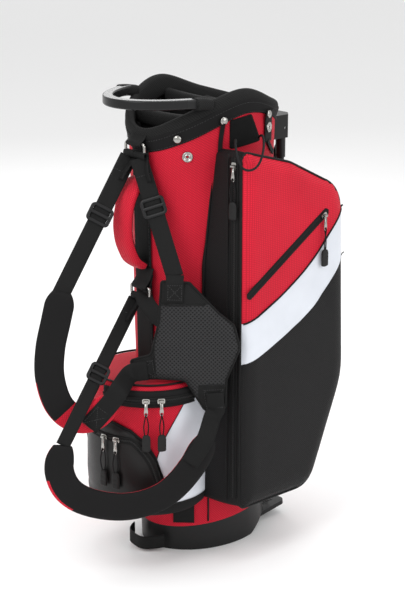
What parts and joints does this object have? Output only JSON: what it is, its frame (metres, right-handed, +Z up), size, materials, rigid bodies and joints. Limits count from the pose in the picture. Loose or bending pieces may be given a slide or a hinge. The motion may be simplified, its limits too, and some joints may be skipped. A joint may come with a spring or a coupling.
{
  "type": "golf stand bag",
  "caption": "Golf stand bag with a soft oval body on a moulded base, folding stand legs, zipped side pockets and a padded carrying harness.",
  "frame": {"origin": "centre of the base cup's flat underside, on the floor", "axes": "+Z up along the bag, -Y towards the spine and carrying handles, +Y towards the stand legs, +X towards the large garment pocket"},
  "size_m": [0.3084, 0.5755, 0.836],
  "materials": {
    "red_fabric": "woven honeycomb polyester",
    "black_fabric": "woven ripstop polyester",
    "black_mesh": "air mesh over foam",
    "black_coated": "grained coated fabric",
    "black_webbing": "ribbed nylon webbing",
    "black_plastic": "fine moulded texture",
    "grey_plastic": "smooth moulded",
    "black_tube": "satin black",
    "nickel": "bright nickel plate",
    "spring_steel": "drawn wire",
    "rubber_grip": "matte",
    "cord": "braided"
  },
  "bodies": {
    "root": {"accessory_pouch": "red_fabric", "back_pad": "black_mesh", "ball_pocket": "black_coated", "ball_zip": "black_fabric", "base_cup": "black_plastic", "body_sleeve": "red_fabric", "collar_frame": "black_plastic", "collar_pad": "black_mesh", "collar_rivets_and_snaps": "nickel", "divider_bars": "black_mesh", "divider_panels": "black_fabric", "garment_pocket": "red_fabric", "garment_zip": "black_fabric", "glove_patch": "black_fabric", "grab_handle": "red_fabric", "harness_rings": "black_plastic", "harness_webbing": "black_webbing", "leg_bracket": "black_plastic", "leg_pivot_pins": "spring_steel", "lever_pin": "spring_steel", "panel_zip": "black_fabric", "rod_guides": "black_plastic", "shoulder_pad_lower": "red_fabric", "shoulder_pad_upper": "red_fabric", "smile_zip": "black_fabric", "spine_webbing": "black_webbing", "top_handle": "grey_plastic", "towel_cord": "cord", "umbrella_loop": "black_webbing"},
    "base_lever": {"base_lever": "black_plastic"},
    "actuator": {"actuator_rod": "spring_steel"},
    "link_left": {"link_left": "spring_steel"},
    "leg_left": {"leg_tube_left": "black_tube", "leg_knuckle_left": "black_plastic", "leg_foot_left": "rubber_grip"},
    "link_right": {"link_right": "spring_steel"},
    "leg_right": {"leg_tube_right": "black_tube", "leg_knuckle_right": "black_plastic", "leg_foot_right": "rubber_grip"},
    "garment_slider": {"garment_zip_slider": "nickel"},
    "garment_pull": {"garment_zip_pull": "nickel", "garment_pull_cord": "cord"},
    "panel_slider": {"panel_zip_slider": "nickel"},
    "panel_pull": {"panel_zip_pull": "nickel", "panel_pull_cord": "cord"},
    "smile_front_slider": {"smile_front_zip_slider": "nickel"},
    "smile_front_pull": {"smile_front_zip_pull": "nickel", "smile_front_pull_cord": "cord"},
    "smile_rear_slider": {"smile_rear_zip_slider": "nickel"},
    "smile_rear_pull": {"smile_rear_zip_pull": "nickel", "smile_rear_pull_cord": "cord"},
    "ball_front_slider": {"ball_front_zip_slider": "nickel"},
    "ball_front_pull": {"ball_front_zip_pull": "nickel", "ball_front_pull_cord": "cord"},
    "ball_rear_slider": {"ball_rear_zip_slider": "nickel"},
    "ball_rear_pull": {"ball_rear_zip_pull": "nickel", "ball_rear_pull_cord": "cord"},
    "buckle_1": {"slide_buckle_1": "black_plastic"},
    "buckle_2": {"slide_buckle_2": "black_plastic"},
    "buckle_3": {"slide_buckle_3": "black_plastic"}
  },
  "joints": [
    {"name": "leg_left_swing", "type": "hinge", "parent": "root", "child": "leg_left", "pos_m": [-0.027, 0.165, 0.74], "axis": [0.9397, 0.342, 0], "range_deg": [0, 28]},
    {"name": "leg_right_swing", "type": "hinge", "parent": "root", "child": "leg_right", "pos_m": [0.027, 0.165, 0.74], "axis": [0.9397, -0.342, 0], "range_deg": [0, 28]},
    {"name": "actuator_slide", "type": "slide", "parent": "root", "child": "actuator", "axis": [0, 0, 1], "range_m": [0, 0.02061]},
    {"name": "link_left_turn", "type": "hinge", "parent": "actuator", "child": "link_left", "pos_m": [-0.01948, 0.14433, 0.655], "axis": [0.9397, 0.342, 0], "range_deg": [-28.46, 0]},
    {"name": "link_right_turn", "type": "hinge", "parent": "actuator", "child": "link_right", "pos_m": [0.01948, 0.14433, 0.655], "axis": [0.9397, -0.342, 0], "range_deg": [-28.46, 0]},
    {"name": "base_lever_tilt", "type": "hinge", "parent": "root", "child": "base_lever", "pos_m": [0, 0.046, 0.007], "axis": [1, 0, 0], "range_deg": [0, 11.15]},
    {"name": "garment_slider_run", "type": "slide", "parent": "root", "child": "garment_slider", "axis": [0, 0, -1], "range_m": [0, 0.57]},
    {"name": "garment_pull_swing", "type": "hinge", "parent": "garment_slider", "child": "garment_pull", "pos_m": [0.15144, -0.0689, 0.718], "axis": [-0.9726, -0.2326, 0], "range_deg": [0, 80]},
    {"name": "panel_slider_run", "type": "slide", "parent": "root", "child": "panel_slider", "axis": [0, -0.8427, -0.5384], "range_m": [0, 0.2]},
    {"name": "panel_pull_swing", "type": "hinge", "parent": "panel_slider", "child": "panel_pull", "pos_m": [0.1842, 0.122, 0.60917], "axis": [0, -1, 0], "range_deg": [0, 120]},
    {"name": "smile_front_slider_run", "type": "hinge", "parent": "root", "child": "smile_front_slider", "pos_m": [0, -0.124, 0.319], "axis": [0, 0, 1], "range_deg": [-17, 0]},
    {"name": "smile_front_pull_swing", "type": "hinge", "parent": "smile_front_slider", "child": "smile_front_pull", "pos_m": [0.08503, -0.20611, 0.319], "axis": [-0.6947, -0.7193, 0], "range_deg": [0, 80]},
    {"name": "smile_rear_slider_run", "type": "hinge", "parent": "root", "child": "smile_rear_slider", "pos_m": [0, -0.124, 0.319], "axis": [0, 0, 1], "range_deg": [0, 23]},
    {"name": "smile_rear_pull_swing", "type": "hinge", "parent": "smile_rear_slider", "child": "smile_rear_pull", "pos_m": [0.10132, -0.18488, 0.319], "axis": [-0.515, -0.8572, 0], "range_deg": [0, 80]},
    {"name": "ball_front_slider_run", "type": "hinge", "parent": "root", "child": "ball_front_slider", "pos_m": [0, -0.124, 0.244], "axis": [0, 0, 1], "range_deg": [-38, 0]},
    {"name": "ball_front_pull_swing", "type": "hinge", "parent": "ball_front_slider", "child": "ball_front_pull", "pos_m": [0.01256, -0.24354, 0.244], "axis": [-0.9945, -0.1045, 0], "range_deg": [0, 40]},
    {"name": "ball_rear_slider_run", "type": "hinge", "parent": "root", "child": "ball_rear_slider", "pos_m": [0, -0.124, 0.244], "axis": [0, 0, 1], "range_deg": [0, 15]},
    {"name": "ball_rear_pull_swing", "type": "hinge", "parent": "ball_rear_slider", "child": "ball_rear_pull", "pos_m": [0.03913, -0.23765, 0.244], "axis": [-0.9455, -0.3256, 0], "range_deg": [0, 40]},
    {"name": "buckle_1_slide", "type": "slide", "parent": "root", "child": "buckle_1", "axis": [0.0558, -0.6116, -0.7892], "range_m": [-0.02, 0.09]},
    {"name": "buckle_2_slide", "type": "slide", "parent": "root", "child": "buckle_2", "axis": [0.4053, 0.0293, -0.9137], "range_m": [-0.02, 0.09]},
    {"name": "buckle_3_slide", "type": "slide", "parent": "root", "child": "buckle_3", "axis": [0.1524, -0.6802, -0.717], "range_m": [-0.06, 0]}
  ],
  "couplings": [
    {"joint": "leg_right_swing", "follows": "leg_left_swing", "ratio": 1},
    {"joint": "actuator_slide", "follows": "leg_left_swing", "m_per_rad": 0.042142},
    {"joint": "link_left_turn", "follows": "leg_left_swing", "ratio": -1.0159},
    {"joint": "link_right_turn", "follows": "leg_left_swing", "ratio": -1.0159},
    {"joint": "base_lever_tilt", "follows": "leg_left_swing", "ratio": 0.39778}
  ]
}
